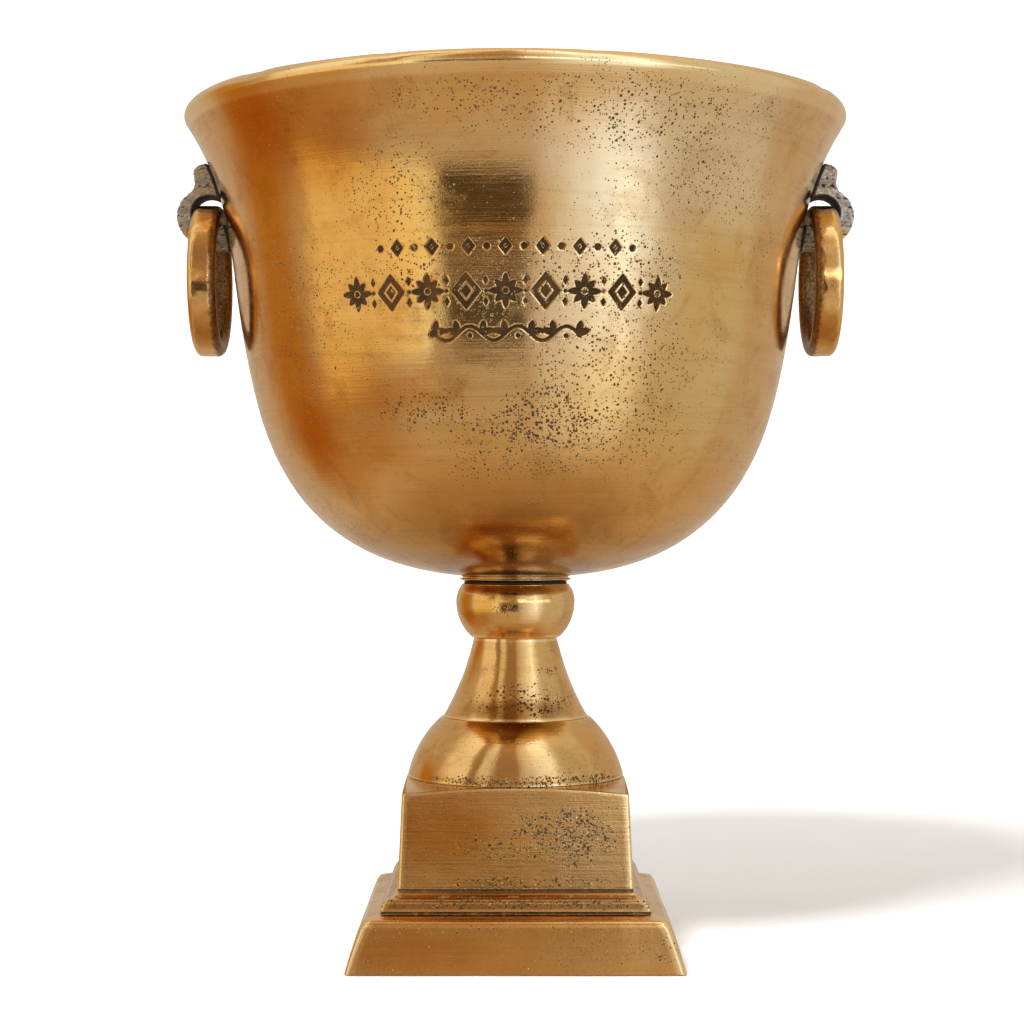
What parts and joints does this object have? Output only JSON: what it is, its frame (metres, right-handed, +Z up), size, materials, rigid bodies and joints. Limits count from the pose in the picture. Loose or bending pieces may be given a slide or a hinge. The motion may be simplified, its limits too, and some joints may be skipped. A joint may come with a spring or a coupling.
{
  "type": "champagne cooler",
  "caption": "Footed wine cooler: flared bowl with swinging ring handles on a turned stem and stepped square plinth, holding ice and bottles.",
  "frame": {"origin": "centre of the base, on the floor", "axes": "+Z up through the stem and the bowl; the ring handles lie on the X axis, so the front is -Y"},
  "size_m": [0.391, 0.38, 0.481],
  "materials": {
    "bowl_brass": "antique brass casting, softly polished, with dark pits",
    "stem_brass": "antique brass, polished, dark in the joints",
    "plinth_brass": "antique brass casting, brushed, pitted, worn bright at the edges",
    "ring_brass": "antique brass, polished outside and dark inside",
    "bracket_metal": "dark antiqued casting with worn highlights",
    "fastener_brass": "dull turned brass",
    "zinc_steel": "zinc plated",
    "black_rubber": "matt black rubber",
    "grey_felt": "pressed felt"
  },
  "bodies": {
    "stand": {"plinth": "plinth_brass", "foot_pads": "grey_felt", "dome": "stem_brass", "neck": "stem_brass", "knob": "stem_brass", "foot_gasket": "black_rubber", "seat_disc": "stem_brass", "bowl": "bowl_brass", "tie_rod": "zinc_steel", "base_washer": "zinc_steel", "lock_washer": "zinc_steel", "base_nut": "zinc_steel", "bowl_seal": "black_rubber", "bowl_washer": "fastener_brass", "cap_nut": "fastener_brass", "left_bracket": "bracket_metal", "right_bracket": "bracket_metal", "left_screws": "fastener_brass", "right_screws": "fastener_brass", "left_screw_seals": "black_rubber", "right_screw_seals": "black_rubber"},
    "left_handle": {"left_ring": "ring_brass"},
    "right_handle": {"right_ring": "ring_brass"}
  },
  "joints": [
    {"name": "left_ring_swing", "type": "hinge", "parent": "stand", "child": "left_handle", "pos_m": [-0.17696, 0, 0.423], "axis": [0, 1, 0], "range_deg": [-6, 150]},
    {"name": "right_ring_swing", "type": "hinge", "parent": "stand", "child": "right_handle", "pos_m": [0.17696, 0, 0.423], "axis": [0, -1, 0], "range_deg": [-6, 150]}
  ]
}
